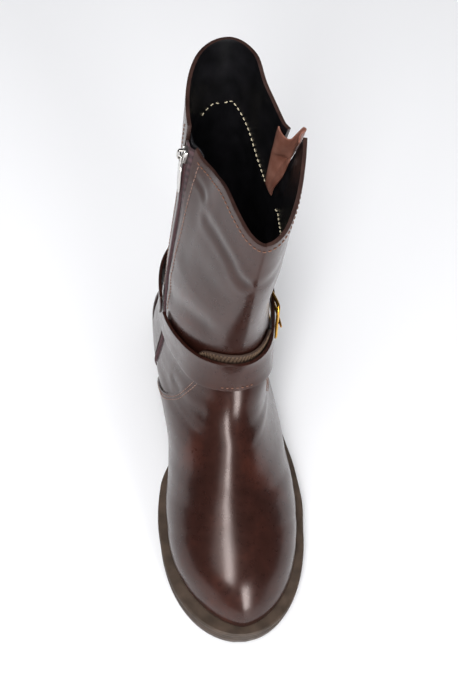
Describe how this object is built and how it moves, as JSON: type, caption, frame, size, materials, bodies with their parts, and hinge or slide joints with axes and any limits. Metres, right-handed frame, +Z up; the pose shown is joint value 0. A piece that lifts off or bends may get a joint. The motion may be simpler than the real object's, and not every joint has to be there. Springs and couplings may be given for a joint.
{
  "type": "buckle boot",
  "caption": "Left mid-calf leather boot with a side zip, an ankle strap with a bar buckle, a slit collar and a low block heel.",
  "frame": {"origin": "on the floor, under the middle of the boot's box", "axes": "+Z up, -Y towards the toe, +X towards the wearer's outer side"},
  "size_m": [0.0967, 0.272, 0.269],
  "materials": {
    "glazed_leather": "glazed, high gloss",
    "overcast_edge": "cut edge with overcast thread",
    "lining_leather": "smooth lining",
    "facing_leather": "smooth, uncoated",
    "sock_lining": "matte",
    "sole_rubber": "moulded, satin",
    "zip_fabric": "woven tape",
    "zip_nylon": "nylon coil",
    "plated_zinc": "bright plate",
    "gilt_brass": "polished"
  },
  "bodies": {
    "boot": {"outsole": "sole_rubber", "insole": "sock_lining", "upper": "glazed_leather", "strap_front": "glazed_leather", "strap_rear": "glazed_leather", "strap_tab": "overcast_edge", "zip_tape": "zip_fabric", "zip_coil": "zip_nylon", "zip_slider": "plated_zinc", "buckle_frame": "gilt_brass", "buckle_pin": "gilt_brass", "zip_guard": "lining_leather", "slit_gusset": "facing_leather"},
    "pull": {"zip_pull": "plated_zinc"}
  },
  "joints": [
    {"name": "pull_hinge", "type": "hinge", "parent": "boot", "child": "pull", "pos_m": [-0.02641, 0.05287, 0.24226], "axis": [0, 0.9995, -0.032], "range_deg": [0, 150]}
  ]
}
